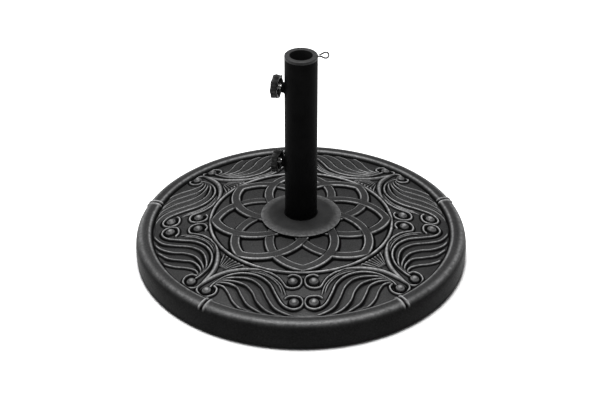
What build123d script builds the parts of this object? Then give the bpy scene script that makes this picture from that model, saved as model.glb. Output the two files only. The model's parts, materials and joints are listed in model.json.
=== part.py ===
"""Parasol base: a weighted round disc with a moulded relief, and a steel stem tube.

The disc is a moulded shell filled with concrete and closed from below by a cover.
The stem is a steel tube welded to a domed flange plate. A bolt from below pulls the
plug in the tube's foot down into a well in the shell. Two clamp screws with star
knobs hold the pole. A push-in cap narrows the tube's mouth to the pole's size, and
a wire eye pin is pushed into the side of the cap.

Frame: origin on the ground at the disc's centre, +Z up along the pole. Millimetres.
"""

import os
from math import asin, cos, degrees, radians, sin, sqrt

from build123d import *

# ------------------------------------------------------------------ the shell and panel
DISC_R = 250.0
SHELL_FOOT_Z = 2.0  # the feet hold the shell this far off the ground
SHELL_FOOT_R = 249.2
WALL_TOP_Z = 16.0  # the wall is at its widest here
WALL = 4.0

DOME_R = 1100.0  # sphere that the relief panel follows
DOME_TOP = 60.0  # height of that sphere over the disc's centre
PANEL_R = 223.0  # outer edge of the panel, inside the rim
CREST = (230.0, 43.3)  # inner edge of the rim's flat top: radius and height
RIM_TOP = (238.5, 43.0)  # outer edge of the rim's flat top
SHOULDER = (246.4, 39.0)  # the rim's outer shoulder
WALL_BEND = (249.5, 29.0)  # where the wall begins to lean in
SHOULDER_INSIDE = (242.6, 36.0)  # inside of the shell behind the shoulder
WALL_INSIDE_TOP_Z = 29.0

RING_R = 137.0  # plain ring between the rosette and the scrolls
RING_W = 5.5
RING_H = 3.4

# ------------------------------------------------------------------ relief on the panel
RELIEF_ROOT = 1.5  # how deep raised features are rooted in the panel
THROUGH = 40.0  # extrusion long enough to pass right through the relief's layers
ROSETTE_FOLD = 8
BAND_W = 14.0
BAND_ARC_R = 68.3  # centreline radius of one band
BAND_CENTRE_R = 66.9  # how far the centre of that arc stands from the disc's centre
BAND_CENTRE_TURN = 17.6  # degrees from the arc's centre round to the band's tip
BAND_ARC_END = 125.0  # degrees round the arc's own centre, hidden by the flange plate
BAND_HIDDEN_R = 40.0  # under the flange plate, where the bands stop
BAND_HIGH = 4.0  # the bands that turn one way pass over
BAND_LOW = 3.2  # the bands that turn the other way pass under

# Plan curves of half a scroll motif, on the right of the -Y axis. The motif is
# mirrored on that axis and repeated at each quarter.
QUARTERS = 4
MAIN_RIDGE = [(14, -184), (1.6, -196.5), (14.4, -209.4), (31.2, -198), (43.8, -166.8),
              (63.6, -140.4), (98.4, -132.6), (128.4, -148.8), (133.2, -154.8)]
STEM_RIDGE = [(52, -133), (86, -123.6), (127, -132), (152, -153.6), (138, -173), (124, -160)]
INNER_SCROLL = [(24.5, -151), (15, -140.5), (2.6, -155), (14.5, -168.6), (29.4, -156),
                (41, -140), (52, -132)]
VEINS = [[(105.6, -141.6), (74.4, -147), (55.8, -171.6), (46.8, -196.8), (24, -218)],
         [(115, -145.8), (82.8, -157.2), (69.6, -181.2), (60, -201.6), (45, -215)],
         [(118.8, -149.4), (94.8, -160.8), (84.6, -187.2), (61, -211)],
         [(122.4, -153), (107.4, -169.2), (93.6, -196.8), (76, -207)]]
RELIEF_SPAN = (RING_R - 15, PANEL_R + 2)  # radii between which the scrolls' layers reach
RIDGE_W = 3.4
RIDGE_H = 3.0
VEIN_W = 2.8
VEIN_H = 2.4
# Each ball: plan place, radius, and how far its top stands over the panel.
BALLS = [((15.0, -156.0), 6.5, 4.1), ((14.0, -197.2), 7.0, 5.0), ((138.5, -161.5), 6.0, 3.6)]

TIE_COUNT = 5  # pairs of beads across the rim
TIE_START = 18.0  # degrees from +X
TIE_GAP = 1.85  # degrees between the two beads of a pair
TIE_BEAD = 0.7  # degrees that one bead takes
TIE_H = 1.5
TIE_FOOT = (249.4, 27.0)  # lower outer end of a bead, on the wall

# ------------------------------------------------------------------ stem and anchorage
TUBE_R = 24.0
TUBE_T = 1.5
TUBE_FOOT_Z = 43.2
TUBE_TOP_Z = 328.5
TUBE_CHAMFER = 0.4
WELL_R = 24.5
WELL_FLOOR_Z = 43.0
WELL_FLOOR_T = 3.0
PLATE_R = 60.0
PLATE_T = 2.5
PLATE_EDGE_Z = 65.0  # top face at the plate's edge
PLATE_HUB_Z = 69.0  # top face round the tube
PLATE_HUB_R = 28.0
PLATE_ROUND = 0.8
PLATE_BULGE = 0.7  # how far the cone between hub and edge bellies out
WELD_LEG = 1.4

BOLT_R = 5.9  # M12
BOLT_HEAD_Z = 8.7
BOLT_HEAD_T = 7.5
BOLT_LENGTH = 50.0
HEX_M12 = 19.0  # across flats
HEX_CHAMFER = 0.8
BOLT_POINT = 1.2
PLUG_T = 6.0
NUT_T = 10.0
WASHER_R = 25.0
WASHER_T = 3.0
SPRING_WASHER_R = 10.5
SPRING_WASHER_T = 2.8
SPRING_WASHER_SPLIT = 1.2
BOLT_PLAY = 0.3
SEAT_Z = 22.0  # the big washer pulls up against the concrete here
BOLT_PASSAGE_R = 7.5

# ------------------------------------------------------------------ cap and eye pin
CAP_TOP_Z = 333.0
CAP_FLANGE_R = 24.1
CAP_EDGE = 1.2
CAP_MOUTH_EDGE = 0.8
CAP_SLEEVE = 30.0  # how deep the sleeve reaches into the tube
CAP_CLEARANCE = 0.1
POLE_BORE_R = 16.5
PIN_R = 1.25
PIN_Z = 330.75
PIN_HOLE_R = 1.3
PIN_ROOT = 17.6  # inner end of the pin, from the pole's axis
# The wire's corners, as distance from the pole's axis and height over the shank.
PIN_ROUTE = [(PIN_ROOT, 0), (28.1, 0), (32.4, -3), (39.2, -3), (39.2, 6.2), (32.4, 6.2), (28.8, 2.7),
             (25.6, 2.7)]
PIN_BENDS = [4, 4, 4.5, 4.5, 4, 4]  # bend radius at each corner

# ------------------------------------------------------------------ clamp screws
KNOB_TURN = 162.0  # degrees from +X to the clamp screws
KNOB_HEIGHTS = {"upper": 277.0, "lower": 153.0}
KNOB_R = 18.2
KNOB_BODY_R = 16.5
KNOB_LOBES = 8
LOBE_R = 4.6
LOBE_ROOT = 1.4  # fillet between two lobes
KNOB_EDGE = 1.2
KNOB_T = 10.0
KNOB_FACE = 32.0  # from the pole's axis to the knob's inner face
RECESS_R = 12.5
RECESS_DEPTH = 6.5
HUB_R = 7.0
HUB_SET_BACK = 4.0
DISH_R = 9.0
DISH_DEPTH = 1.2
SCREW_R = 3.95  # M8
SCREW_END = 39.5
TIP_R = 2.5
PAD_R = 5.0
PAD_T = 2.0
PAD_FACE = 17.5  # with the screw backed off, just outside the pole's passage
PAD_SOCKET = 1.2
PLAY = 0.05
WELD_NUT_ACROSS = 14.0
WELD_NUT_FACE = 28.5
TUBE_HOLE_R = 4.5

# ------------------------------------------------------------------ underside
COVER_Z = 4.0
COVER_T = 3.0
COVER_R = 247.0
LEDGE_R = 247.2
FASTENERS = 5
SCREW_PITCH_R = 239.5
BOSS_R = 6.7
BOSS_TOP_Z = 28.0
COVER_SCREW_R = 1.9
COVER_SCREW_HEAD_R = 4.0
COVER_SCREW_TIP_Z = 21.0
CROSS_SLOT_LENGTH = 4.4
CROSS_SLOT_W = 1.0
CROSS_SLOT_DEPTH = 1.3
FOOT_PITCH_R = 205.0
FOOT_R = 16.0
FOOT_EDGE = 1.2
FOOT_STUD_R = 4.0
ACCESS_R = 28.0
ACCESS_WALL = 2.0
CAST_GAP = 0.2  # shrinkage between the concrete and the shell

COVER_TOP_Z = COVER_Z + COVER_T
TUBE_IR = TUBE_R - TUBE_T


def dome_z(r, proud=0.0):
    """Height of the panel's sphere at radius r, or of one standing proud of it."""
    return DOME_TOP - DOME_R + sqrt((DOME_R + proud) ** 2 - r**2)


def dome_point(r, proud=0.0):
    """Point of the panel's profile at radius r."""
    return (r, dome_z(r, proud))


def dome_arc(r_from, r_to, proud=0.0):
    """Arc of the panel's profile between two radii."""
    middle = (r_from + r_to) / 2
    return ThreePointArc(dome_point(r_from, proud), dome_point(middle, proud), dome_point(r_to, proud))


def outward(turn):
    """Direction away from the pole's axis."""
    return (cos(radians(turn)), sin(radians(turn)), 0)


def dome_ring(proud, r_in, r_out):
    """The layer from just under the panel up to a sphere proud of it, between two radii."""
    with BuildPart() as ring:
        with BuildSketch(Plane.XZ):
            with BuildLine():
                dome_arc(r_in, r_out, -RELIEF_ROOT)
                Line(dome_point(r_out, -RELIEF_ROOT), dome_point(r_out, proud))
                dome_arc(r_out, r_in, proud)
                Line(dome_point(r_in, proud), dome_point(r_in, -RELIEF_ROOT))
            make_face()
        revolve(axis=Axis.Z)
    return ring.part


def save(part, name):
    """Labels a finished piece and writes its file."""
    part.label = name
    export_step(part, f"parts/{name}.step")


os.makedirs("parts", exist_ok=True)

# ================================================================== relief of the panel
# Rosette: every band is one arc that starts at a tip on the ring and ends under the
# flange plate. Its mirror image turns the other way and lies a little lower.
band_centre = (
    BAND_CENTRE_R * cos(radians(BAND_CENTRE_TURN)),
    -BAND_CENTRE_R * sin(radians(BAND_CENTRE_TURN)),
)


def rosette_bands(layer):
    """One band of the rosette, cut to a layer that follows the panel."""
    with BuildPart() as bands:
        with BuildSketch(Plane.XY.offset(dome_z(RING_R) - WALL)):
            with BuildLine() as outline:
                for radius in (BAND_ARC_R + BAND_W / 2, BAND_ARC_R - BAND_W / 2):
                    start = degrees(asin(-band_centre[1] / radius))
                    CenterArc(band_centre, radius, start, BAND_ARC_END - start)
                outer, inner = outline.edges()
                Line(outer @ 0, inner @ 0)
                Line(outer @ 1, inner @ 1)
            make_face()
        extrude(amount=THROUGH)
    return bands.part & layer


high_bands = rosette_bands(dome_ring(BAND_HIGH, BAND_HIDDEN_R, RING_R))
low_bands = mirror(rosette_bands(dome_ring(BAND_LOW, BAND_HIDDEN_R, RING_R)), about=Plane.XZ)

with BuildPart() as rosette:
    with PolarLocations(0, ROSETTE_FOLD):
        add(high_bands)
        add(low_bands)


def half_motif(curves, width, layer):
    """Raised beads along plan curves, their tops following the panel."""
    with BuildPart() as beads:
        with BuildSketch(Plane.XY.offset(dome_z(PANEL_R) - WALL)):
            for curve in curves:
                with BuildLine():
                    Spline(*curve)
                trace(line_width=width)
        extrude(amount=THROUGH)
    return beads.part & layer


ridge_beads = half_motif([MAIN_RIDGE, STEM_RIDGE, INNER_SCROLL], RIDGE_W, dome_ring(RIDGE_H, *RELIEF_SPAN))
vein_beads = half_motif(VEINS, VEIN_W, dome_ring(VEIN_H, *RELIEF_SPAN))

with BuildPart() as balls:
    for (x, y), radius, proud in BALLS:
        with Locations((x, y, dome_z(sqrt(x * x + y * y), proud) - radius)):
            Sphere(radius)
    add(dome_ring(2 * BAND_HIGH, RING_R, PANEL_R), mode=Mode.INTERSECT)

with BuildPart() as motif:
    add(ridge_beads)
    add(vein_beads)
    add(balls.part)
    mirror(about=Plane.YZ)

# Ties: beads that run over the rim from its inner edge to the outer shoulder.
with BuildPart() as tie_bead:
    with BuildSketch(Plane.XZ):
        with BuildLine():
            tie_end = (PANEL_R + 1, dome_z(PANEL_R) + TIE_H)
            Spline(TIE_FOOT, (SHOULDER[0] + 0.8 * TIE_H, SHOULDER[1] + TIE_H),
                   (RIM_TOP[0], RIM_TOP[1] + TIE_H), (CREST[0], CREST[1] + TIE_H), tie_end,
                   tangents=((-0.1, 1), (-0.6, -1)))
            Polyline(tie_end, (CREST[0], CREST[1] - 2 * TIE_H), (SHOULDER[0] - 1, SHOULDER[1] - TIE_H),
                     (TIE_FOOT[0] - TIE_H, TIE_FOOT[1]), TIE_FOOT)
        make_face()
    revolve(axis=Axis.Z, revolution_arc=TIE_BEAD)

# ================================================================== the shell
well_rim = dome_point(WELL_R)
well_outer_r = WELL_R + WALL
ring_inner = RING_R - RING_W / 2
ring_outer = RING_R + RING_W / 2

with BuildPart() as relief_shell:
    with BuildSketch(Plane.XZ):
        with BuildLine():
            # outside: wall, shoulder, crest, lip, panel, ring
            Line((SHELL_FOOT_R, SHELL_FOOT_Z), (DISC_R, WALL_TOP_Z))
            Spline((DISC_R, WALL_TOP_Z), WALL_BEND, SHOULDER, RIM_TOP, CREST,
                   tangents=((0, 1), (-1, 0)))
            Line(CREST, dome_point(PANEL_R))
            dome_arc(PANEL_R, ring_outer)
            Line(dome_point(ring_outer), dome_point(ring_outer - 1, RING_H))
            dome_arc(ring_outer - 1, ring_inner + 1, RING_H)
            Line(dome_point(ring_inner + 1, RING_H), dome_point(ring_inner))
            dome_arc(ring_inner, WELL_R)
            # the well that takes the tube's foot
            Polyline(well_rim, (WELL_R, WELL_FLOOR_Z), (BOLT_PASSAGE_R, WELL_FLOOR_Z),
                     (BOLT_PASSAGE_R, WELL_FLOOR_Z - WELL_FLOOR_T),
                     (well_outer_r, WELL_FLOOR_Z - WELL_FLOOR_T), dome_point(well_outer_r, -WALL))
            # inside
            dome_arc(well_outer_r, PANEL_R + 1, -WALL)
            Polyline(dome_point(PANEL_R + 1, -WALL), (CREST[0] + 1, CREST[1] - WALL),
                     SHOULDER_INSIDE, (DISC_R - WALL, WALL_INSIDE_TOP_Z),
                     (DISC_R - WALL, COVER_TOP_Z), (LEDGE_R, COVER_TOP_Z), (LEDGE_R, SHELL_FOOT_Z),
                     (SHELL_FOOT_R, SHELL_FOOT_Z))
        make_face()
    revolve(axis=Axis.Z)
    # bosses for the cover's screws, moulded onto the wall
    with BuildSketch(Plane.XY.offset(COVER_TOP_Z)):
        with PolarLocations(SCREW_PITCH_R, FASTENERS):
            Circle(BOSS_R)
    extrude(amount=BOSS_TOP_Z - COVER_TOP_Z)
    with BuildSketch(Plane.XY.offset(COVER_TOP_Z)):
        with PolarLocations(SCREW_PITCH_R, FASTENERS):
            Circle(COVER_SCREW_R)
    extrude(amount=BOSS_TOP_Z - COVER_TOP_Z - WALL, mode=Mode.SUBTRACT)
    # relief
    add(rosette.part)
    with PolarLocations(0, QUARTERS):
        add(motif.part)
    for side in (-TIE_GAP / 2, TIE_GAP / 2):
        with PolarLocations(0, TIE_COUNT, start_angle=TIE_START + side - TIE_BEAD / 2):
            add(tie_bead.part)
save(relief_shell.part, "relief_shell")

# ================================================================== concrete filling
with BuildPart() as concrete_ballast:
    with BuildSketch(Plane.XZ):
        with BuildLine():
            inside = WALL + CAST_GAP
            Polyline(dome_point(well_outer_r + CAST_GAP, -inside),
                     (well_outer_r + CAST_GAP, WELL_FLOOR_Z - WELL_FLOOR_T - CAST_GAP),
                     (BOLT_PASSAGE_R, WELL_FLOOR_Z - WELL_FLOOR_T - CAST_GAP),
                     (BOLT_PASSAGE_R, SEAT_Z), (ACCESS_R, SEAT_Z), (ACCESS_R, COVER_TOP_Z + CAST_GAP),
                     (DISC_R - inside, COVER_TOP_Z + CAST_GAP), (DISC_R - inside, WALL_INSIDE_TOP_Z),
                     (SHOULDER_INSIDE[0] - CAST_GAP, SHOULDER_INSIDE[1] - CAST_GAP),
                     (CREST[0] + 1, CREST[1] - inside),
                     dome_point(PANEL_R + 1 + CAST_GAP, -inside))
            dome_arc(PANEL_R + 1 + CAST_GAP, well_outer_r + CAST_GAP, -inside)
        make_face()
    revolve(axis=Axis.Z)
    with BuildSketch(Plane.XY.offset(COVER_TOP_Z)):
        with PolarLocations(SCREW_PITCH_R, FASTENERS):
            Circle(BOSS_R + CAST_GAP)
    extrude(amount=BOSS_TOP_Z - COVER_TOP_Z + CAST_GAP, mode=Mode.SUBTRACT)
save(concrete_ballast.part, "concrete_ballast")

# ================================================================== underside
foot_turn = 180 / FASTENERS  # the feet stand between the screws

with BuildPart() as bottom_cover:
    with BuildSketch(Plane.XY.offset(COVER_Z)):
        Circle(COVER_R)
        Circle(ACCESS_R, mode=Mode.SUBTRACT)
        with PolarLocations(FOOT_PITCH_R, FASTENERS, start_angle=foot_turn):
            Circle(FOOT_STUD_R, mode=Mode.SUBTRACT)
    extrude(amount=COVER_T)
    with Locations(Plane.XY.offset(COVER_Z).rotated((180, 0, 0))):
        with PolarLocations(SCREW_PITCH_R, FASTENERS):
            CounterSinkHole(COVER_SCREW_R + PLAY, COVER_SCREW_HEAD_R + PLAY, COVER_T)
save(bottom_cover.part, "bottom_cover")

with BuildPart() as one_cover_screw:
    head_t = COVER_SCREW_HEAD_R - COVER_SCREW_R
    with BuildSketch(Plane.XZ):
        Polygon((0, COVER_Z), (COVER_SCREW_HEAD_R, COVER_Z), (COVER_SCREW_R, COVER_Z + head_t),
                (COVER_SCREW_R, COVER_SCREW_TIP_Z - COVER_SCREW_R), (0, COVER_SCREW_TIP_Z), align=None)
    revolve(axis=Axis.Z)
    with BuildSketch(Plane.XY.offset(COVER_Z)):
        Rectangle(CROSS_SLOT_LENGTH, CROSS_SLOT_W)
        Rectangle(CROSS_SLOT_W, CROSS_SLOT_LENGTH)
    extrude(amount=CROSS_SLOT_DEPTH, mode=Mode.SUBTRACT)

with BuildPart() as cover_screws:
    with PolarLocations(SCREW_PITCH_R, FASTENERS):
        add(one_cover_screw.part)
save(cover_screws.part, "cover_screws")

with BuildPart() as rubber_feet:
    with BuildSketch(Plane.XY):
        with PolarLocations(FOOT_PITCH_R, FASTENERS, start_angle=foot_turn):
            Circle(FOOT_R)
    extrude(amount=COVER_Z)
    fillet(rubber_feet.edges().group_by(Axis.Z)[0], FOOT_EDGE)
    with BuildSketch(Plane.XY.offset(COVER_Z)):
        with PolarLocations(FOOT_PITCH_R, FASTENERS, start_angle=foot_turn):
            Circle(FOOT_STUD_R)
    extrude(amount=COVER_T)
save(rubber_feet.part, "rubber_feet")

with BuildPart() as access_plug:
    with BuildSketch(Plane.XZ):
        skirt_r = ACCESS_R - ACCESS_WALL
        Polygon((0, COVER_Z), (ACCESS_R, COVER_Z), (ACCESS_R, COVER_TOP_Z), (skirt_r, COVER_TOP_Z),
                (skirt_r, COVER_Z + ACCESS_WALL), (0, COVER_Z + ACCESS_WALL), align=None)
    revolve(axis=Axis.Z)
save(access_plug.part, "access_plug")

# ================================================================== anchorage
bolt_seat_z = BOLT_HEAD_Z + BOLT_HEAD_T

with BuildPart() as anchor_bolt:
    with BuildSketch(Plane.XY.offset(BOLT_HEAD_Z)):
        RegularPolygon(HEX_M12 / 2, 6, major_radius=False)
    extrude(amount=BOLT_HEAD_T)
    chamfer(anchor_bolt.edges().group_by(Axis.Z)[0], HEX_CHAMFER)
    with BuildSketch(Plane.XY.offset(bolt_seat_z)):
        Circle(BOLT_R)
    extrude(amount=BOLT_LENGTH)
    chamfer(anchor_bolt.edges().group_by(Axis.Z)[-1], BOLT_POINT)
save(anchor_bolt.part, "anchor_bolt")

with BuildPart() as spring_washer:
    with BuildSketch(Plane.XY.offset(bolt_seat_z)):
        Circle(SPRING_WASHER_R)
        Circle(BOLT_R + BOLT_PLAY, mode=Mode.SUBTRACT)
        with Locations(((BOLT_R + SPRING_WASHER_R) / 2, 0)):
            Rectangle(SPRING_WASHER_R - BOLT_R + 2, SPRING_WASHER_SPLIT, mode=Mode.SUBTRACT)
    extrude(amount=SPRING_WASHER_T)
save(spring_washer.part, "spring_washer")

with BuildPart() as anchor_washer:
    with BuildSketch(Plane.XY.offset(SEAT_Z - WASHER_T)):
        Circle(WASHER_R)
        Circle(BOLT_R + 2 * BOLT_PLAY, mode=Mode.SUBTRACT)
    extrude(amount=WASHER_T)
save(anchor_washer.part, "anchor_washer")

plug_top_z = TUBE_FOOT_Z + PLUG_T

with BuildPart() as tube_plug:
    with BuildSketch(Plane.XY.offset(TUBE_FOOT_Z)):
        Circle(TUBE_IR)
        Circle(BOLT_R + BOLT_PLAY, mode=Mode.SUBTRACT)
    extrude(amount=PLUG_T)
save(tube_plug.part, "tube_plug")

with BuildPart() as anchor_nut:
    with BuildSketch(Plane.XY.offset(plug_top_z)):
        RegularPolygon(HEX_M12 / 2, 6, major_radius=False)
    extrude(amount=NUT_T)
    chamfer(anchor_nut.edges().group_by(Axis.Z)[-1], HEX_CHAMFER)
    with BuildSketch(Plane.XY.offset(plug_top_z)):
        Circle(BOLT_R)
    extrude(amount=NUT_T, mode=Mode.SUBTRACT)
save(anchor_nut.part, "anchor_nut")

with BuildPart() as flange_plate:
    with BuildSketch(Plane.XZ):
        with BuildLine():
            edge_top = (PLATE_R - PLATE_ROUND, PLATE_EDGE_Z)
            edge_low = (PLATE_R - PLATE_ROUND, PLATE_EDGE_Z - PLATE_T)
            hub_top = (PLATE_HUB_R, PLATE_HUB_Z)
            hub_low = (PLATE_HUB_R, PLATE_HUB_Z - PLATE_T)
            mid_r = (PLATE_R + PLATE_HUB_R) / 2
            mid_z = (PLATE_EDGE_Z + PLATE_HUB_Z) / 2 + PLATE_BULGE
            ThreePointArc(edge_low, (PLATE_R, PLATE_EDGE_Z - PLATE_T / 2), edge_top)
            ThreePointArc(edge_top, (mid_r, mid_z), hub_top)
            Polyline(hub_top, (TUBE_R, PLATE_HUB_Z), (TUBE_R, PLATE_HUB_Z - PLATE_T), hub_low)
            ThreePointArc(hub_low, (mid_r, mid_z - PLATE_T), edge_low)
        make_face()
    revolve(axis=Axis.Z)
save(flange_plate.part, "flange_plate")

with BuildPart() as foot_weld:
    with BuildSketch(Plane.XZ):
        with BuildLine():
            weld_top = (TUBE_R, PLATE_HUB_Z + WELD_LEG)
            weld_toe = (TUBE_R + WELD_LEG, PLATE_HUB_Z)
            Polyline(weld_top, (TUBE_R, PLATE_HUB_Z), weld_toe)
            ThreePointArc(weld_toe, (TUBE_R + 0.6 * WELD_LEG, PLATE_HUB_Z + 0.6 * WELD_LEG), weld_top)
        make_face()
    revolve(axis=Axis.Z)
save(foot_weld.part, "foot_weld")

# ================================================================== stem and cap
def clamp_plane(height, distance=0.0):
    """Plane across a clamp screw's axis, its z pointing away from the pole."""
    across = Plane(origin=(0, 0, height), x_dir=(0, 0, 1), z_dir=outward(KNOB_TURN))
    return across.offset(distance)


with BuildPart() as stem_tube:
    with BuildSketch(Plane.XY.offset(TUBE_FOOT_Z)):
        Circle(TUBE_R)
        Circle(TUBE_IR, mode=Mode.SUBTRACT)
    extrude(amount=TUBE_TOP_Z - TUBE_FOOT_Z)
    chamfer(stem_tube.edges().group_by(Axis.Z)[-1].sort_by(SortBy.RADIUS)[-1], TUBE_CHAMFER)
    for height in KNOB_HEIGHTS.values():
        with BuildSketch(clamp_plane(height)):
            Circle(TUBE_HOLE_R)
        extrude(amount=2 * TUBE_R, mode=Mode.SUBTRACT)
save(stem_tube.part, "stem_tube")

with BuildPart() as reducer_cap:
    with BuildSketch(Plane.XY.offset(TUBE_TOP_Z)):
        Circle(CAP_FLANGE_R)
    extrude(amount=CAP_TOP_Z - TUBE_TOP_Z)
    fillet(reducer_cap.edges().group_by(Axis.Z)[-1], CAP_EDGE)
    with BuildSketch(Plane.XY.offset(TUBE_TOP_Z)):
        Circle(TUBE_IR - CAP_CLEARANCE)
    extrude(amount=-CAP_SLEEVE)
    with BuildSketch(Plane.XY.offset(CAP_TOP_Z)):
        Circle(POLE_BORE_R)
    extrude(amount=-(CAP_TOP_Z - TUBE_TOP_Z + CAP_SLEEVE), mode=Mode.SUBTRACT)
    mouth = reducer_cap.edges().filter_by(GeomType.CIRCLE).group_by(Axis.Z)[-1].sort_by(SortBy.RADIUS)[0]
    fillet(mouth, CAP_MOUTH_EDGE)
    with BuildSketch(Plane.YZ.offset(PIN_ROOT)):
        with Locations((0, PIN_Z)):
            Circle(PIN_HOLE_R)
    extrude(amount=CAP_FLANGE_R, mode=Mode.SUBTRACT)
save(reducer_cap.part, "reducer_cap")

# The pin is one wire: straight shank, then a loop that closes back over the neck.
with BuildPart() as eye_pin:
    with BuildLine(Plane.XZ) as wire:
        FilletPolyline(*[(x, PIN_Z + dz) for x, dz in PIN_ROUTE], radius=PIN_BENDS)
    with BuildSketch(Plane(origin=wire.line @ 0, z_dir=wire.line % 0)):
        Circle(PIN_R)
    sweep()
save(eye_pin.part, "eye_pin")


# ================================================================== clamp screws
def weld_nut(height, name):
    """Hexagon nut on the tube, its foot shaped to the tube's round."""
    with BuildPart() as nut:
        with BuildSketch(clamp_plane(height, TUBE_IR)):
            RegularPolygon(WELD_NUT_ACROSS / 2, 6, major_radius=False)
        extrude(amount=WELD_NUT_FACE - TUBE_IR)
        with Locations((0, 0, height)):
            Cylinder(TUBE_R, 2 * WELD_NUT_ACROSS, mode=Mode.SUBTRACT)
        with BuildSketch(clamp_plane(height)):
            Circle(SCREW_R + PLAY)
        extrude(amount=WELD_NUT_FACE, mode=Mode.SUBTRACT)
    save(nut.part, name)


def knob_head(height, name):
    """Lobed knob, hollow towards the tube, with a hub round the screw and a dished face."""
    with BuildPart() as head:
        with BuildSketch(clamp_plane(height, KNOB_FACE)) as star:
            Circle(KNOB_BODY_R)
            with PolarLocations(KNOB_R - LOBE_R, KNOB_LOBES):
                Circle(LOBE_R)
            fillet(star.vertices(), LOBE_ROOT)
        extrude(amount=KNOB_T)
        along = Axis((0, 0, height), outward(KNOB_TURN))
        ends = head.faces().sort_by(along)
        fillet(ends[0].edges() + ends[-1].edges(), KNOB_EDGE)
        with BuildSketch(clamp_plane(height, KNOB_FACE)):
            Circle(RECESS_R)
            Circle(HUB_R, mode=Mode.SUBTRACT)
        extrude(amount=RECESS_DEPTH, mode=Mode.SUBTRACT)
        with BuildSketch(clamp_plane(height, KNOB_FACE)):
            Circle(HUB_R)
        extrude(amount=HUB_SET_BACK, mode=Mode.SUBTRACT)
        with BuildSketch(clamp_plane(height, KNOB_FACE)):
            Circle(SCREW_R)
        extrude(amount=SCREW_END - KNOB_FACE, mode=Mode.SUBTRACT)
        with BuildSketch(clamp_plane(height, KNOB_FACE + KNOB_T)):
            Circle(DISH_R)
        extrude(amount=-DISH_DEPTH, mode=Mode.SUBTRACT)
    save(head.part, name)


def knob_screw(height, name):
    """Screw from the knob to the tip that the pad turns on."""
    with BuildPart() as screw:
        with BuildSketch(clamp_plane(height, PAD_FACE + PAD_T - PAD_SOCKET + PLAY)):
            Circle(TIP_R)
        extrude(amount=2 * PAD_SOCKET)
        with BuildSketch(clamp_plane(height, PAD_FACE + PAD_T + PLAY)):
            Circle(SCREW_R)
        extrude(amount=SCREW_END - PAD_FACE - PAD_T - PLAY)
    save(screw.part, name)


def tip_pad(height, name):
    """Pad that presses on the pole, with a socket for the screw's tip."""
    with BuildPart() as pad:
        with BuildSketch(clamp_plane(height, PAD_FACE)):
            Circle(PAD_R)
        extrude(amount=PAD_T)
        with BuildSketch(clamp_plane(height, PAD_FACE + PAD_T - PAD_SOCKET)):
            Circle(TIP_R + PLAY)
        extrude(amount=PAD_SOCKET, mode=Mode.SUBTRACT)
    save(pad.part, name)


for level, height in KNOB_HEIGHTS.items():
    weld_nut(height, f"{level}_weld_nut")
    knob_head(height, f"{level}_knob_head")
    knob_screw(height, f"{level}_knob_screw")
    tip_pad(height, f"{level}_tip_pad")
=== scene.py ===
"""Looks of the parasol base: relief disc, stem, clamp screws, cap and eye pin. Metres.

The disc's top is one height field, worked out from plan curves of the relief. It is
made as several pieces that share their borders. Everything else is turned, swept or
lofted round its own axis.
"""

import json
from math import cos, pi, radians, sin

import bpy
import numpy as np
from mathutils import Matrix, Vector


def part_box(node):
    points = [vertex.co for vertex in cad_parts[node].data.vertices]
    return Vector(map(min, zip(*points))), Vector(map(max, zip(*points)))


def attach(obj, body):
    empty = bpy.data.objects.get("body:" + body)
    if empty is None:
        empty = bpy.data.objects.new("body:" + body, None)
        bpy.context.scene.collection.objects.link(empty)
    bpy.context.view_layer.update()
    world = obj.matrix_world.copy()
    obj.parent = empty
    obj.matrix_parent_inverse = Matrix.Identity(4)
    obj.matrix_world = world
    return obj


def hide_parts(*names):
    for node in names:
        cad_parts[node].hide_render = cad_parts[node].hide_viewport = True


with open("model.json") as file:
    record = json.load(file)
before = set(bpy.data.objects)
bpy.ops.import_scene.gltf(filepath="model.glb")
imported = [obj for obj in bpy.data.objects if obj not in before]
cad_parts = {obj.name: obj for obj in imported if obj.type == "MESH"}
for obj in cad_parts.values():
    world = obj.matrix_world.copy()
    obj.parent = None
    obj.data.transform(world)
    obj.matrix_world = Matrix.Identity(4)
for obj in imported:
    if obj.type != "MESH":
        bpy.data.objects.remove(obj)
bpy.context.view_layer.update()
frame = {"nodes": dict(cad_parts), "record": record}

MM = 0.001

# ------------------------------------------------------------- sizes read from the frame
SHELL_LOW, SHELL_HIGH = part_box("relief_shell")
DISC_R = 0.5 * (SHELL_HIGH.x - SHELL_LOW.x) - 0.01 * MM
PLATE_LOW, PLATE_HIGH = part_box("flange_plate")
PLATE_R = PLATE_HIGH.x
TUBE_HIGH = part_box("stem_tube")[1]
TUBE_R = TUBE_HIGH.x
CAP_LOW, CAP_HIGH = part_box("reducer_cap")
CAP_R = CAP_HIGH.x
KNOBS = {level: 0.5 * sum(corner.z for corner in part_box(f"{level}_knob_head"))
         for level in ("upper", "lower")}

# ------------------------------------------------------------------ stem, plate and cap
TUBE_INSIDE_R = TUBE_R - 1.5 * MM
TUBE_SHOWN_FROM = 64 * MM  # the foot of the tube's skin, hidden by the weld and the plate
PLATE_THICK = 2.5 * MM
PLATE_EDGE_Z = PLATE_LOW.z + PLATE_THICK
PLATE_HUB = 4 * MM  # flat collar round the tube
PLATE_SHOULDER_R = 44 * MM
PLATE_INSIDE_R = 30 * MM
PLATE_SEGMENTS = 180
WELD_LEG = 1.4 * MM
WELD_RIPPLES = 46
WELD_SINK = 0.05 * MM
CAP_BORE_R = 16.5 * MM
CAP_SLEEVE_R = TUBE_R - 1.6 * MM
CAP_OPEN = 4 * MM  # where the bore's outline starts and ends

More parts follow.
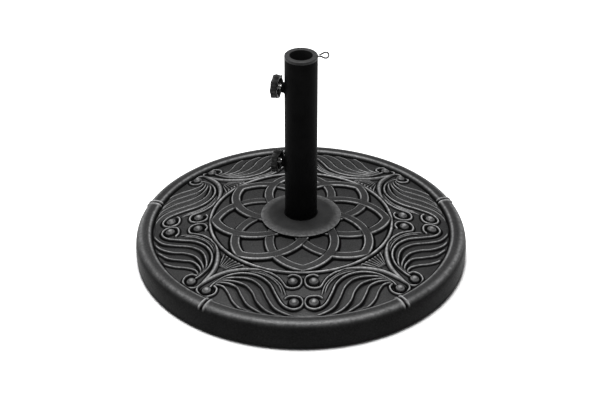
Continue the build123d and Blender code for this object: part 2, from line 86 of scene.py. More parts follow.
# Route of the eye pin's wire, millimetres out from the pole's axis and up from the shank. Its inner
# end and the eye's farthest point come from the frame.
EYE_OUT = [(24.0, 0), (27.2, 0), (29.8, -0.8), (32.8, -2.6), (36.0, -2.9), (38.4, -1.3)]
EYE_TIP_UP = 1.6
EYE_BACK = [(38.3, 4.6), (35.8, 6.1), (33.0, 5.8), (30.4, 4.2), (28.0, 2.9), (25.6, 2.7)]
WIRE_SIDES = 14

# -------------------------------------------------- clamp screws, out from the tube's axis
KNOB_TURN = radians(162)
KNOB_BACK = 32 * MM
KNOB_FRONT = 42 * MM
KNOB_EDGE = 1.3 * MM
KNOB_BODY_R = 16.5 * MM
LOBES = 8
LOBE_R = 5.6 * MM
LOBE_REACH = 12.5 * MM
KNOB_BOSS_R = 7 * MM
KNOB_POCKET_R = 12.5 * MM
KNOB_DISH_R = 9 * MM
BLEND = 9000  # how sharply the lobes meet the knob's body
SCREW_PITCH = 1.25 * MM
SCREW_R = 3.95 * MM
SCREW_START = 19.6 * MM
SCREW_END = 39.5 * MM
THREAD_DEPTH = 0.68 * MM
NUT_FACE = 28.5 * MM
NUT_SIDE = 26 * MM
NUT_HALF_FLAT = 7 * MM
NUT_BORE_R = 4 * MM
NUT_WELD = [(0.1 * MM, 1.9 * MM), (0.5 * MM, 1.0 * MM), (1.3 * MM, 0.35 * MM), (2.0 * MM, -0.05 * MM)]
AROUND_SCREW = 192

# ------------------------------------------------------------------------------- studio
CAMERA_SPOT = (-0.0425, -2.0056, 1.3583)
CAMERA_TURN = (radians(57.70), 0, radians(-1.17))
CAMERA_LENS = 95.1
AIM = Vector((0, 0, 0.05))
AIR_LIGHT = 0.22

# ------------------------------------------------------------------- the panel's relief
DOME_R = 1100 * MM
DOME_TOP = 60 * MM
PANEL_R = 223 * MM
RING_R = 137 * MM
RING_W = 5.5 * MM
RING_H = 3.4 * MM
OUTER_FROM_R = RING_R + 0.5 * RING_W + 0.8 * MM

FOLD = 8
BAND_W = 14 * MM
BAND_ARC_R = 68.3 * MM
BAND_CENTRE_R = 66.9 * MM
BAND_CENTRE_TURN = radians(17.6)
BAND_HIGH = 4.0 * MM
BAND_LOW = 3.2 * MM

# Half of one scroll motif in plan, millimetres, right of the -Y axis. A ball is its centre,
# its radius and its height.
MAIN_RIDGE = [(26.2, -188), (21.4, -184.6), (13.2, -184), (5, -187), (1.4, -196.5), (5, -205.8),
              (14.4, -209.4), (24, -205.8), (31.2, -198), (39.6, -178.8), (48, -157.2), (63.6, -140.4),
              (86.4, -132), (110.4, -135.6), (128.4, -148.8), (133.2, -154.8)]
STEM_RIDGE = [(52, -133), (62, -127.5), (86, -123.6), (115, -127.2), (138, -139.8), (152, -153.6),
              (150.6, -163), (138, -173), (127, -169.5), (123.6, -160), (127.5, -153.5)]
INNER_SCROLL = [(21, -143.6), (14.5, -141), (5.2, -145.5), (2.4, -155), (6, -165), (14.5, -168.6),
                (24, -166), (29.4, -156), (35, -146.4), (48, -134.5), (52, -133)]
RIBS = [[(24, -187), (32.4, -159.6), (44.4, -144), (62, -131), (86, -127.4), (114, -130.6), (136, -141.5),
         (146, -151)],
        [(29, -181), (36, -159.6), (50.4, -141.6), (72, -130.8), (102, -129.6), (126, -138), (141, -150.5)]]
VEINS = [[(125, -147.5), (112, -140.5), (93.6, -140.6), (74.4, -147), (60, -163.2), (50.4, -188.4),
          (40.8, -206.4), (24, -218.4), (11, -222.5)],
         [(127.5, -150), (118, -144.5), (102, -146.6), (82.8, -157.2), (72.6, -172.8), (66, -192),
          (52.8, -210), (36, -220.5)],
         [(129, -152.5), (121.5, -148), (108, -150.6), (94.8, -160.8), (88.2, -177.6), (79.2, -196.8),
          (58, -216)],
         [(130, -155.5), (124, -152), (115.2, -156), (107.4, -169.2), (100.8, -187.2), (90, -202.5),
          (78, -210)]]
BALLS = [((15.0, -155.0), 7.4, 5.4), ((14.0, -197.0), 7.6, 5.8), ((138.5, -161.0), 7.2, 5.4)]

# Widths, heights and places of the scrolls, all in millimetres like the plan above.
RIDGE_W = 3.4
RIDGE_H = 3.0
STEM_SWELL = 4.6  # how much wider the stem of a scroll is between its two curls
RIB_W = 2.2
RIB_H = 2.3
VEIN_OUTER_W = 2.6
VEIN_INNER_W = 3.4
VEIN_H = 2.7
LEAF_H = 1.9  # the leaf between two veins is highest just inside its vein
LEAF_REACH = 9.0
GROOVE_DEPTH = 2.6
SOCKET_DEPTH = 1.8  # the hollow round each ball
OUTER_EDGE = (220.8, 222.8)  # the relief runs out here, just inside the rim
FAN_R = 176  # the little fans spread from here towards the ring
FAN_RIBS = 6
FAN_SPREAD = 5.2  # degrees from the middle of a rib to its edge
FAN_H = 2.5
FAN_GROOVE = 2.6
PETAL_TIPS = (102, 114)  # the two families of bands come level with each other here

# How the relief is sampled; passes of blur set how far wear and shade look around.
ROWS = 132
SCROLL_COLUMNS = 560
ROSETTE_COLUMNS = 280
BORDER = 24  # columns worked out past each side of a relief piece
SOFTEN = 2
WEAR_REACH = 14
SHADE_REACH = 36

# -------------------------------------------------------------------------- rim and ties
RIM = [(223.0, 37.1), (224.2, 38.0), (225.6, 39.7), (227.2, 41.3), (229.0, 42.3), (232.0, 42.7),
       (236.0, 42.6), (240.0, 41.9), (243.2, 40.6), (245.9, 38.3), (247.7, 35.3), (248.9, 31.5),
       (249.6, 26.0), (250.0, 16.0), (249.7, 8.0), (249.2, 2.0)]
SKIRT = [(249.2, 2.0), (247.2, 2.0), (247.2, 7.0), (246.0, 7.0)]  # the wall's lower edge, turned inwards
RIM_SPLINE_STEPS = 6
RIM_COLUMNS = 720
TIE_COUNT = 5
TIE_START = radians(18)
TIE_GAP = radians(1.85)
TIE_W = radians(0.78)
TIE_H = 1.7 * MM
GUTTER_DEPTH = 0.5 * MM  # between the two beads of a tie
TIE_COLUMNS = 33
# rubbed wear with a painted highlight, in bands round the rim's shoulder and lip
SHOULDER_WEAR_AND_HIGHLIGHT_R = 242.4 * MM
LIP_WEAR_AND_HIGHLIGHT_R = 228.6 * MM


# ============================================================================== helpers
def dome_z(r):
    """Height of the panel's sphere at radius r."""
    return DOME_TOP - DOME_R + np.sqrt(DOME_R**2 - r**2)


def smooth_step(x, low, high):
    """Rises from 0 at low to 1 at high, level at both ends."""
    t = np.clip((x - low) / (high - low), 0, 1)
    return t * t * (3 - 2 * t)


def hump(x, middle, width):
    """Bell curve of height 1."""
    return np.exp(-(((x - middle) / width) ** 2))


def stretch(share, rise, fall):
    """1 along the middle of a line, running out between the shares of rise and of fall."""
    return smooth_step(share, *rise) * (1 - smooth_step(share, *fall))


def spline(points, steps=10):
    """Points of a smooth curve through the given ones (centripetal Catmull-Rom)."""
    p = np.array(points, float)
    p = np.vstack([2 * p[0] - p[1], p, 2 * p[-1] - p[-2]])
    out = []
    for a, b, c, d in zip(p[:-3], p[1:-2], p[2:-1], p[3:]):
        t1 = np.linalg.norm(b - a) ** 0.5
        t2 = t1 + np.linalg.norm(c - b) ** 0.5
        t3 = t2 + np.linalg.norm(d - c) ** 0.5
        t = np.linspace(t1, t2, steps, endpoint=False)[:, None]
        ab = (t1 - t) / t1 * a + t / t1 * b
        bc = (t2 - t) / (t2 - t1) * b + (t - t1) / (t2 - t1) * c
        cd = (t3 - t) / (t3 - t2) * c + (t - t2) / (t3 - t2) * d
        abc = (t2 - t) / t2 * ab + t / t2 * bc
        bcd = (t3 - t) / (t3 - t1) * bc + (t - t1) / (t3 - t1) * cd
        out.append((t2 - t) / (t2 - t1) * abc + (t - t1) / (t2 - t1) * bcd)
    return np.vstack(out + [p[-2:-1]])


def along_line(x, y, line):
    """Distance to a polyline, the side of it (+1 on its left) and how far along it (0 to 1)."""
    best = np.full(x.shape, 1e9)
    side = np.zeros(x.shape)
    share = np.zeros(x.shape)
    lengths = np.linalg.norm(np.diff(line, axis=0), axis=1)
    done = np.concatenate([[0], np.cumsum(lengths)])
    for i, (a, b) in enumerate(zip(line[:-1], line[1:])):
        d = b - a
        t = np.clip(((x - a[0]) * d[0] + (y - a[1]) * d[1]) / (lengths[i] ** 2 + 1e-12), 0, 1)
        ex = x - a[0] - t * d[0]
        ey = y - a[1] - t * d[1]
        e = np.hypot(ex, ey)
        near = e < best
        best = np.where(near, e, best)
        side = np.where(near, np.sign(d[0] * ey - d[1] * ex), side)
        share = np.where(near, (done[i] + t * lengths[i]) / done[-1], share)
    return best, side, share


def bead(distance, width, height):
    """Cross-section of a raised bead with rounded top and soft foot."""
    t = np.clip(distance / (0.5 * width), 0, 1.6)
    return height * np.exp(-(t**2.6) * 1.25)


def blur(field, passes):
    """Soft average over the grid's neighbours, edges repeated."""
    for _ in range(passes):
        padded = np.pad(field, 1, mode="edge")
        field = (padded[:-2, 1:-1] + padded[2:, 1:-1] + padded[1:-1, :-2] + padded[1:-1, 2:] + 2 * field) / 6
    return field


# ====================================================================== relief heights
def folded(r, turn):
    """Plan position in half of one motif; r in mm, turn from -Y."""
    turn = np.abs((turn + pi / 4) % (pi / 2) - pi / 4)
    return r * np.sin(turn), -r * np.cos(turn), turn


def ridge_shapes(px, py):
    """Crest and groove of each main ridge of a motif, which has no leaf."""
    for points in (MAIN_RIDGE, STEM_RIDGE, INNER_SCROLL):
        d, _, share = along_line(px, py, spline(points))
        swell = STEM_SWELL * stretch(share, (0.08, 0.3), (0.5, 0.68)) if points is STEM_RIDGE else 0
        yield bead(d, RIDGE_W + swell, RIDGE_H), hump(d, 0.95 * RIDGE_W + 0.5 * swell, 1.4), 0


def rib_shapes(px, py):
    """Crest and groove of each thin rib beside a main ridge, which has no leaf."""
    for points in RIBS:
        d, _, share = along_line(px, py, spline(points))
        fade = stretch(share, (0, 0.08), (0.42, 0.62))
        yield bead(d, RIB_W, RIB_H * fade), 0.5 * fade * hump(d, 0.95 * RIB_W, 0.9), 0


def vein_shapes(px, py):
    """Crest, groove and leaf of each vein: the leaf slopes up to it on one side, a groove is on the other."""
    for points in VEINS:
        d, side, share = along_line(px, py, spline(points))
        outer = side * d
        fade = smooth_step(share, 0, 0.06) * (1 - 0.45 * smooth_step(share, 0.88, 1.0))
        crest = VEIN_H * fade * bead(d, np.where(outer > 0, VEIN_OUTER_W, VEIN_INNER_W), 1)
        drop = hump(np.clip(outer, 0, None), 3.3, 2.0) * (outer > 0)
        leaf = np.where(outer > 0, 0, LEAF_H * fade * np.exp(outer / LEAF_REACH))
        yield crest, smooth_step(share, 0.03, 0.2) * fade * drop, leaf


def scroll_height(r, turn):
    """Height over the panel, in mm, of the scroll motifs; r in mm, turn from -Y."""
    x, y, turn = folded(r, turn)
    # a scroll near the diagonal or the axis is also seen from its mirrored neighbour
    mirrored = [(x, y), (-y, -x), (-x, y)]
    crests = np.zeros(x.shape)
    grooves = np.zeros(x.shape)
    leaves = np.zeros(x.shape)
    for px, py in mirrored:
        for shapes in (ridge_shapes, rib_shapes, vein_shapes):
            for crest, groove, leaf in shapes(px, py):
                crests = np.maximum(crests, crest)
                grooves = np.maximum(grooves, groove)
                leaves = np.maximum(leaves, leaf)
    on_crest = smooth_step(crests, 0.15, 1.1)
    field = (leaves - GROOVE_DEPTH * grooves) * (1 - on_crest) + np.maximum(crests, leaves) * on_crest
    for ball in BALLS:
        for px, py in mirrored:
            field = with_ball(field, px, py, ball)
    field = np.maximum(field, fan_height(r, turn))
    return field * (1 - smooth_step(r, *OUTER_EDGE))


def with_ball(field, px, py, ball):
    """Adds one ball and the socket that it sits in."""
    centre, radius, proud = ball
    d = np.hypot(px - centre[0], py - centre[1])
    dome = proud * np.sqrt(np.clip(1 - (d / radius) ** 2, 0, 1))
    field = np.where(d < radius, np.maximum(field, dome), field)
    socket = hump(d, radius + 0.9, 1.3) * (d > radius - 0.3)
    return field - SOCKET_DEPTH * socket * (1 - smooth_step(field, 0.8, 2.2))


def highlit_rubbed_places(r, turn):
    """Wear with a painted highlight, 0 to 1, on the tops of the balls and along the broad stems; r in mm,
    turn from -Y.
    """
    x, y, _ = folded(r, turn)
    worn_and_highlit = np.zeros(x.shape)
    for px, py in ((x, y), (-y, -x)):
        for (bx, by), radius, _ in BALLS:
            worn_and_highlit = np.maximum(worn_and_highlit, 0.8 * hump(np.hypot(px - bx, py - by), 0, 0.42 * radius))
        d, _, share = along_line(px, py, spline(STEM_RIDGE))
        broad = stretch(share, (0.04, 0.16), (0.55, 0.68))
        worn_and_highlit = np.maximum(worn_and_highlit, 0.75 * broad * hump(d, 0, 1.9))
    return worn_and_highlit


def fan_height(r, turn):
    """Little spreading ribs that fill the corner between two motifs and the ring."""
    away = pi / 4 - turn
    x = r * np.sin(away)
    y = FAN_R - r * np.cos(away)
    spread = np.degrees(np.arctan2(x, np.maximum(y, 0.01)))
    step = 2 * FAN_SPREAD
    rib = np.abs((spread + step / 2) % step - step / 2) / (step / 2)
    inside = (np.abs(spread) < step * FAN_RIBS / 2) * smooth_step(y, 10, 14)
    ends = stretch(r, (141.8, 143.6), (163, 166))
    return (FAN_H - FAN_GROOVE * rib**1.4) * inside * ends


def band_share(x, y, spin, hand):
    """Share of a flat band's section (1 on top) along one arc of the rosette, which bends to one hand."""
    angle = spin - hand * BAND_CENTRE_TURN
    d = np.hypot(x - BAND_CENTRE_R / MM * cos(angle), y - BAND_CENTRE_R / MM * sin(angle))
    off = np.abs(d - BAND_ARC_R / MM)
    half = 0.5 * BAND_W / MM
    flat = 1 - smooth_step(off, half - 0.9, half + 0.7)
    lip = 0.13 * hump(off, half - 1.5, 0.9)
    # the band is the half of its circle on one side of the line from the pole to its tip
    on_side = hand * (y * cos(spin) - x * sin(spin)) > 0
    return (flat + lip * flat) * on_side


def rosette_height(r, turn):
    """Height over the panel, in mm, of the interlaced bands; r in mm, turn from +X."""
    x = r * np.cos(turn)
    y = r * np.sin(turn)
    spins = [2 * pi * k / FOLD for k in range(FOLD)]
    high = np.max([band_share(x, y, spin, 1) for spin in spins], axis=0)
    low = np.max([band_share(x, y, spin, -1) for spin in spins], axis=0)
    level = smooth_step(r, *PETAL_TIPS)
    low_height = (BAND_LOW + (BAND_HIGH - BAND_LOW) * level) / MM
    return np.maximum(BAND_HIGH / MM * high, low_height * low * (1 - 0.25 * high * (1 - level)))


def panel_height(r, turn):
    """Height in mm over the panel's sphere anywhere on the panel."""
    ring = RING_R / MM
    half = 0.5 * RING_W / MM
    bands = rosette_height(r, turn) * (1 - smooth_step(r, ring - half + 0.5, ring - half + 1.5))
    scrolls = np.zeros(r.shape)
    outside = r > ring + half - 0.5
    if outside.any():
        scrolls = np.where(outside, scroll_height(r, turn + pi / 2), 0)
    band = bead(np.abs(r - ring), RING_W * 0.92 / MM, RING_H / MM)
    foot = 0.7 * hump(np.abs(r - ring), half + 1.0, 1.2)
    field = np.maximum(np.maximum(bands, scrolls), band)
    return field - foot * (field < 1.0)


# ========================================================================== mesh making
def dress(obj, material, body, stands_for):
    """Gives a finished piece its material and body, and hides the CAD node it stands for."""
    obj.data.materials.clear()
    obj.data.materials.append(material)
    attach(obj, body)
    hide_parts(stands_for)
    return obj


def grid_object(name, points, wrap, material, body, stands_for, flip=False):
    """A quad grid; points is rows x columns x 3, and wrap closes the columns."""
    rows, columns = points.shape[:2]
    index = np.arange(rows * columns).reshape(rows, columns)
    if wrap:
        index = np.hstack([index, index[:, :1]])
    quads = np.stack([index[:-1, :-1], index[:-1, 1:], index[1:, 1:], index[1:, :-1]], axis=-1)
    quads = quads.reshape(-1, 4)
    if flip:
        quads = quads[:, ::-1]
    mesh = bpy.data.meshes.new(name)
    mesh.vertices.add(rows * columns)
    mesh.vertices.foreach_set("co", points.reshape(-1).astype(np.float32))
    mesh.loops.add(quads.size)
    mesh.loops.foreach_set("vertex_index", quads.reshape(-1).astype(np.int32))
    mesh.polygons.add(len(quads))
    mesh.polygons.foreach_set("loop_start", np.arange(0, quads.size, 4, dtype=np.int32))
    mesh.polygons.foreach_set("use_smooth", np.ones(len(quads), bool))
    mesh.update(calc_edges=True)
    obj = bpy.data.objects.new(name, mesh)
    bpy.context.scene.collection.objects.link(obj)
    return dress(obj, material, body, stands_for)


def point_attribute(obj, name, values):
    """Stores one number for each vertex, which a material can read."""
    layer = obj.data.attributes.new(name, "FLOAT", "POINT")
    layer.data.foreach_set("value", values.reshape(-1).astype(np.float32))


def lathe(name, profile, segments, material, body, stands_for):
    """Turns a closed or open outline of (r, z) round the pole's axis."""
    outline = np.array(profile, float)
    turns = np.linspace(0, 2 * pi, segments, endpoint=False)
    points = np.stack([outline[:, :1] * np.cos(turns), outline[:, :1] * np.sin(turns),
                       np.repeat(outline[:, 1:], segments, axis=1)], axis=-1)
    return grid_object(name, points, True, material, body, stands_for)


def rounded(corners, radii, steps=6):
    """Outline through the corners with an arc of the given radius at each inner one."""
    corners = [Vector(c) for c in corners]
    out = [corners[0]]
    for before, here, after, radius in zip(corners, corners[1:], corners[2:], radii):
        a = (before - here).normalized()
        b = (after - here).normalized()
        half = a.angle(b) / 2
        reach = radius / max(np.tan(half), 1e-6)
        centre = here + (a + b).normalized() * radius / max(sin(half), 1e-6)
        start = here + a * reach - centre
        end = here + b * reach - centre
        for i in range(steps + 1):
            out.append(centre + start.lerp(end, i / steps).normalized() * radius)
    out.append(corners[-1])
    return [tuple(p) for p in out]


# ============================================================================ materials
def new_material(name):
    """A material with one shader, and what is needed to add to it."""
    material = bpy.data.materials.new(name)
    material.use_nodes = True
    nodes = material.node_tree.nodes
    nodes.clear()
    output = nodes.new("ShaderNodeOutputMaterial")
    shader = nodes.new("ShaderNodeBsdfPrincipled")
    material.node_tree.links.new(shader.outputs[0], output.inputs[0])
    return material, nodes, material.node_tree.links, shader


def place(nodes):
    """Position on the piece, in metres, that all the textures are laid out by."""
    return nodes.new("ShaderNodeTexCoord").outputs["Object"]


def noise(nodes, links, where, scale, detail, rough):
    """Soft noise from 0 to 1, with scale waves to the metre."""
    node = nodes.new("ShaderNodeTexNoise")
    node.inputs["Scale"].default_value = scale
    node.inputs["Detail"].default_value = detail
    node.inputs["Roughness"].default_value = rough
    links.new(where, node.inputs["Vector"])
    return node.outputs["Fac"]


def cells(nodes, links, where, scale):
    """Distance to the nearest of many scattered points."""
    node = nodes.new("ShaderNodeTexVoronoi")
    node.inputs["Scale"].default_value = scale
    links.new(where, node.inputs["Vector"])
    return node.outputs["Distance"]


def ramp(nodes, links, value, low, high, dark, light):
    """Maps low..high of a value onto dark..light, clamped."""
    node = nodes.new("ShaderNodeMapRange")
    node.inputs["From Min"].default_value = low
    node.inputs["From Max"].default_value = high
    node.inputs["To Min"].default_value = dark
    node.inputs["To Max"].default_value = light
    links.new(value, node.inputs["Value"])
    return node.outputs["Result"]


def math_node(nodes, links, operation, a, b):
    """Adds or multiplies two values, each a number or another node's output."""
    node = nodes.new("ShaderNodeMath")
    node.operation = operation
    for socket, value in zip(node.inputs, (a, b)):
        if isinstance(value, (int, float)):
            socket.default_value = value
        else:
            links.new(value, socket)
    return node.outputs[0]


def mixed(nodes, links, factor, a, b):
    """Mixes two colours, each a plain RGB or another node's output."""
    node = nodes.new("ShaderNodeMix")
    node.data_type = "RGBA"
    links.new(factor, node.inputs["Factor"])
    for socket, value in zip((node.inputs[6], node.inputs[7]), (a, b)):
        if isinstance(value, tuple):
            socket.default_value = (*value, 1)
        else:
            links.new(value, socket)
    return node.outputs[2]


def mottled(nodes, links, value, low, high, a, b):
    """Colour a where the value is low, b where it is high."""
    return mixed(nodes, links, ramp(nodes, links, value, low, high, 0, 1), a, b)


def attribute(nodes, name):
    """A number that the mesh stores for each vertex."""
    node = nodes.new("ShaderNodeAttribute")
    node.attribute_name = name
    return node.outputs["Fac"]


def bumped(nodes, links, shader, height, strength, distance):
    """Fine surface texture; distance is its height in metres."""
    node = nodes.new("ShaderNodeBump")
    node.inputs["Strength"].default_value = strength
    node.inputs["Distance"].default_value = distance
    links.new(height, node.inputs["Height"])
    links.new(node.outputs[0], shader.inputs["Normal"])


def shell_material(relief):
    """Charcoal grained resin; on the relief the ridges are rubbed lighter and partly given painted
    highlights, and the hollows get painted shade.
    """
    material, nodes, links, shader = new_material("shell_resin_relief" if relief else "shell_resin_plain")
    where = place(nodes)
    cloud = noise(nodes, links, where, 22, 5, 0.6)
    grain = noise(nodes, links, where, 620, 3, 0.6)
    pits = cells(nodes, links, where, 520)
    body = mottled(nodes, links, cloud, 0.3, 0.7, (0.0055, 0.0055, 0.0057), (0.0110, 0.0110, 0.0112))
    speck = ramp(nodes, links, grain, 0.42, 0.66, 0, 1)
    body = mixed(nodes, links, math_node(nodes, links, "MULTIPLY", speck, 0.55), body, (0.032, 0.032, 0.0324))
    if relief:
        # the crests are rubbed lighter; the ball tops, broad stems, rim shoulder and lip also get painted
        # highlights in this colour
        wear_and_highlight = attribute(nodes, "wear_and_highlight")
        broken = ramp(nodes, links, noise(nodes, links, where, 190, 4, 0.7), 0.34, 0.62, 0.35, 1.0)
        patch = ramp(nodes, links, noise(nodes, links, where, 11, 3, 0.6), 0.35, 0.65, 0.6, 1.1)
        rub_and_highlight = math_node(nodes, links, "MULTIPLY", math_node(nodes, links, "MULTIPLY", wear_and_highlight, broken), patch)
        body = mixed(nodes, links, rub_and_highlight, body, (0.28, 0.28, 0.282))
        # painted shade: the relief's hollows and grooves darkened nearly to black
        painted_shade = attribute(nodes, "painted_shade")
        body = mixed(nodes, links, painted_shade, body, (0.0015, 0.0015, 0.0015))
    links.new(body, shader.inputs["Base Color"])
    links.new(ramp(nodes, links, grain, 0.3, 0.7, 0.50, 0.34), shader.inputs["Roughness"])
    shader.inputs["Specular IOR Level"].default_value = 0.15
    if relief:
        # painted shade also turns the reflection down in the hollows
        links.new(ramp(nodes, links, painted_shade, 0.0, 0.6, 0.17, 0.0), shader.inputs["Specular IOR Level"])
    height = math_node(nodes, links, "ADD", grain, math_node(nodes, links, "MULTIPLY", pits, 0.6))
    bumped(nodes, links, shader, height, 0.45, 0.0006)
    return material


def painted_steel(name, base, light, rough, speckle, level, rubbed_and_highlit=None):
    """Paint on steel with orange peel and clouding; the optional last argument is the colour of worn edges
    with a painted highlight.
    """
    material, nodes, links, shader = new_material(name)
    where = place(nodes)
    cloud = noise(nodes, links, where, 35, 4, 0.6)
    peel = noise(nodes, links, where, speckle, 3, 0.55)
    colour = mottled(nodes, links, cloud, 0.35, 0.7, base, light)
    if rubbed_and_highlit:
        broken = ramp(nodes, links, noise(nodes, links, where, 210, 4, 0.7), 0.36, 0.6, 0.3, 1.0)
        wear_and_highlight = math_node(nodes, links, "MULTIPLY", attribute(nodes, "wear_and_highlight"), broken)
        colour = mixed(nodes, links, wear_and_highlight, colour, rubbed_and_highlit)
    links.new(colour, shader.inputs["Base Color"])
    links.new(ramp(nodes, links, peel, 0.3, 0.7, rough + 0.07, rough - 0.06), shader.inputs["Roughness"])
    shader.inputs["Specular IOR Level"].default_value = level
    bumped(nodes, links, shader, peel, 0.25, 0.0004)
    return material


def moulded_plastic(name, base, light, rough, level):
    """Black moulded plastic with fine grain and handling marks."""
    material, nodes, links, shader = new_material(name)
    where = place(nodes)
    cloud = noise(nodes, links, where, 90, 5, 0.6)
    grain = noise(nodes, links, where, 1400, 2, 0.5)
    links.new(mottled(nodes, links, cloud, 0.35, 0.68, base, light), shader.inputs["Base Color"])
    links.new(ramp(nodes, links, cloud, 0.3, 0.7, rough + 0.08, rough - 0.05), shader.inputs["Roughness"])
    shader.inputs["Specular IOR Level"].default_value = level
    bumped(nodes, links, shader, grain, 0.2, 0.0003)
    return material


def plated_metal(name, base, dull, rough):
    """Plated steel with fine scratches and dull patches."""
    material, nodes, links, shader = new_material(name)
    where = place(nodes)
    cloud = noise(nodes, links, where, 160, 4, 0.6)
    scratch = noise(nodes, links, where, 1800, 2, 0.5)
    links.new(mottled(nodes, links, cloud, 0.35, 0.7, base, dull), shader.inputs["Base Color"])
    links.new(ramp(nodes, links, cloud, 0.3, 0.7, rough, rough + 0.2), shader.inputs["Roughness"])
    shader.inputs["Metallic"].default_value = 1.0
    bumped(nodes, links, shader, scratch, 0.15, 0.0002)
    return material


def cast_concrete():
    """Grey concrete, clouded, with the stones showing in it."""
    material, nodes, links, shader = new_material("concrete")
    where = place(nodes)
    cloud = noise(nodes, links, where, 18, 6, 0.65)
    stones = cells(nodes, links, where, 130)
    colour = mottled(nodes, links, cloud, 0.3, 0.7, (0.30, 0.29, 0.27), (0.46, 0.45, 0.43))
    links.new(colour, shader.inputs["Base Color"])
    shader.inputs["Roughness"].default_value = 0.9
    bumped(nodes, links, shader, stones, 0.5, 0.001)
    return material


MATERIALS = {
    "relief": shell_material(True),
    "shell": shell_material(False),
    # painted shade: the stem, its weld and nuts have the plate's black paint made several times darker
    "stem_paint": painted_steel("stem_paint", (0.0012, 0.0012, 0.0013), (0.0030, 0.0030, 0.0031),
                                0.58, 520, 0.03),
    # the plate's edge colour is wear with a painted highlight
    "plate_paint": painted_steel("plate_paint", (0.010, 0.010, 0.0102), (0.018, 0.018, 0.0182),
                                 0.55, 900, 0.12, (0.15, 0.15, 0.151)),
    "knob_plastic": moulded_plastic("knob_plastic", (0.005, 0.005, 0.005), (0.011, 0.011, 0.011), 0.4, 0.18),
    "cap_plastic": moulded_plastic("cap_plastic", (0.012, 0.012, 0.0122), (0.022, 0.022, 0.0224), 0.5, 0.16),
    "cover_plastic": moulded_plastic("cover_plastic", (0.022, 0.022, 0.022), (0.034, 0.034, 0.034), 0.6, 0.3),
    "foot_rubber": moulded_plastic("foot_rubber", (0.014, 0.014, 0.014), (0.026, 0.026, 0.026), 0.85, 0.2),
    "pad_nylon": moulded_plastic("pad_nylon", (0.62, 0.61, 0.56), (0.72, 0.71, 0.66), 0.5, 0.4),
    "bright_screw": plated_metal("bright_screw", (0.62, 0.62, 0.61), (0.34, 0.34, 0.34), 0.22),
    "coated_wire": moulded_plastic("coated_wire", (0.004, 0.004, 0.004), (0.009, 0.009, 0.009), 0.22, 0.5),
    "zinc_steel": plated_metal("zinc_steel", (0.52, 0.53, 0.52), (0.36, 0.37, 0.34), 0.35),
    "concrete": cast_concrete(),
}


# ================================================================================ disc
def relief_piece(name, radii, start, span, columns):
    """One stretch of the panel with its relief, worked out a little past its sides for even borders."""
    step = span / (columns - 1)
    turns = start + step * np.arange(-BORDER, columns + BORDER)
    r, turn = np.meshgrid(radii, turns, indexing="ij")
    lift = blur(panel_height(r / MM, turn), SOFTEN)
    wear_and_highlight = smooth_step(lift - blur(lift, WEAR_REACH), 0.25, 0.85)
    # rubbed wear and painted highlights on the balls' tops and along the broad stems
    if radii[-1] > RING_R + RING_W:
        wear_and_highlight = np.maximum(wear_and_highlight, highlit_rubbed_places(r / MM, turn + pi / 2))
    # painted shade: darker where the relief lies below its blurred surroundings, in the hollows, grooves and
    # sockets
    painted_shade = smooth_step(blur(lift, SHADE_REACH) - lift, 0.08, 0.6)
    points = np.stack([r * np.cos(turn), r * np.sin(turn), dome_z(r) + lift * MM], axis=-1)
    inner = slice(BORDER, -BORDER)
    obj = grid_object(name, points[:, inner], False, MATERIALS["relief"], "base", "relief_shell",
                      flip=True)
    point_attribute(obj, "wear_and_highlight", wear_and_highlight[:, inner])
    point_attribute(obj, "painted_shade", painted_shade[:, inner])


def relief_pieces():
    """The panel's scrolls and rosette, a quarter of each to a piece."""
    outer_radii = np.linspace(OUTER_FROM_R, PANEL_R + 0.3 * MM, ROWS)
    inner_radii = np.linspace(0.8 * PLATE_R, OUTER_FROM_R, ROWS)
    for quarter in range(4):
        start = quarter * pi / 2
        relief_piece(f"scroll_panel_{quarter + 1}", outer_radii, start - pi / 4, pi / 2, SCROLL_COLUMNS)
        relief_piece(f"rosette_panel_{quarter + 1}", inner_radii, start - pi / 8, pi / 2, ROSETTE_COLUMNS)


def nearest_turn(turns, centres):
    """Angle from each turn to the nearest of the centres."""
    return np.min([np.abs((turns - c + pi) % (2 * pi) - pi) for c in centres], axis=0)


def tie_pattern():
    """Turns that follow the ties closely, the share of a tie's bead at each, and of the gutter between."""
    middles = [TIE_START + 2 * pi * k / TIE_COUNT for k in range(TIE_COUNT)]
    centres = [middle + side * TIE_GAP / 2 for middle in middles for side in (-1, 1)]
    plain = np.linspace(0, 2 * pi, RIM_COLUMNS, endpoint=False)
    fine = np.concatenate([c + np.linspace(-TIE_W, TIE_W, TIE_COLUMNS) for c in centres])
    turns = np.unique(np.round(np.concatenate([plain, fine % (2 * pi)]), 6))
    across = np.exp(-((nearest_turn(turns, centres) / (0.5 * TIE_W)) ** 3))
    gutter = np.exp(-((nearest_turn(turns, middles) / (0.28 * TIE_GAP)) ** 4))
    return turns, across, gutter * (1 - across)


